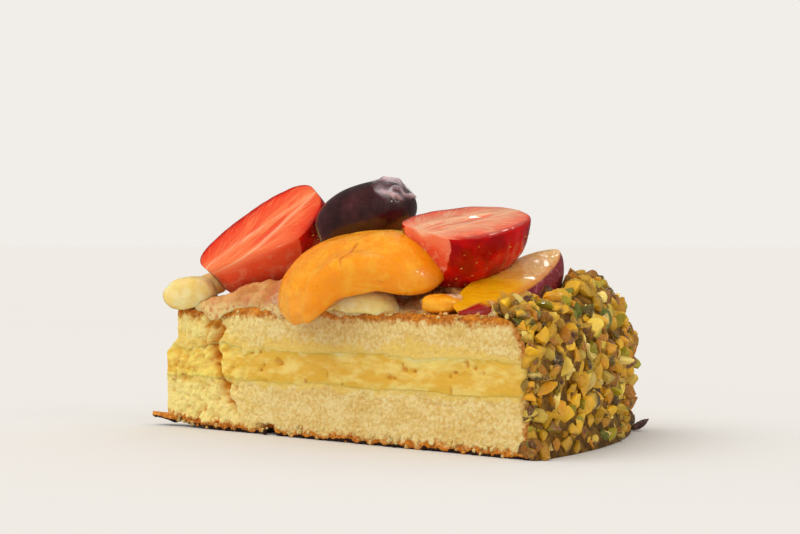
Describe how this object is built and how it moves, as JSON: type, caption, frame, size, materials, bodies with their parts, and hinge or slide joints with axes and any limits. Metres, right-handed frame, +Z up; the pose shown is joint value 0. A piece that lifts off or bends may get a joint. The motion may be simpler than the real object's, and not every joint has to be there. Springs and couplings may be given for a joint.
{
  "type": "slice of fruit cake tart",
  "caption": "Wedge of layered sponge with a custard filling, glazed fruit piled on top and chopped nuts round the rim; it rests flat on its base.",
  "frame": {"origin": "on the table under the middle of the slice, 72 mm from the axis of the whole cake", "axes": "+X from the pointed tip towards the curved rim, +Z up; the cut that shows faces -Y"},
  "size_m": [0.1459, 0.0877, 0.0711],
  "materials": {
    "sponge": "dry open crumb, browned at the crust",
    "custard": "smooth, slightly moist",
    "glazed_custard": "wet, under a clear glaze",
    "strawberry": "moist cut flesh and shiny seeded skin",
    "grape": "glazed, shiny",
    "apricot": "glazed, shiny",
    "nectarine": "moist flesh with a red skin",
    "pear": "moist, slightly clear",
    "pistachio": "chopped, slightly oily"
  },
  "bodies": {
    "root": {"lower_sponge": "sponge", "custard_filling": "custard", "upper_sponge": "sponge", "strawberry_left": "strawberry", "strawberry_right": "strawberry", "black_grape": "grape", "apricot_front": "apricot", "nectarine_wedge": "nectarine", "apricot_back": "apricot", "pear_tip": "pear", "pear_front": "pear", "apricot_piece": "apricot", "custard_bed": "glazed_custard", "pistachio_coat": "pistachio"}
  },
  "joints": []
}
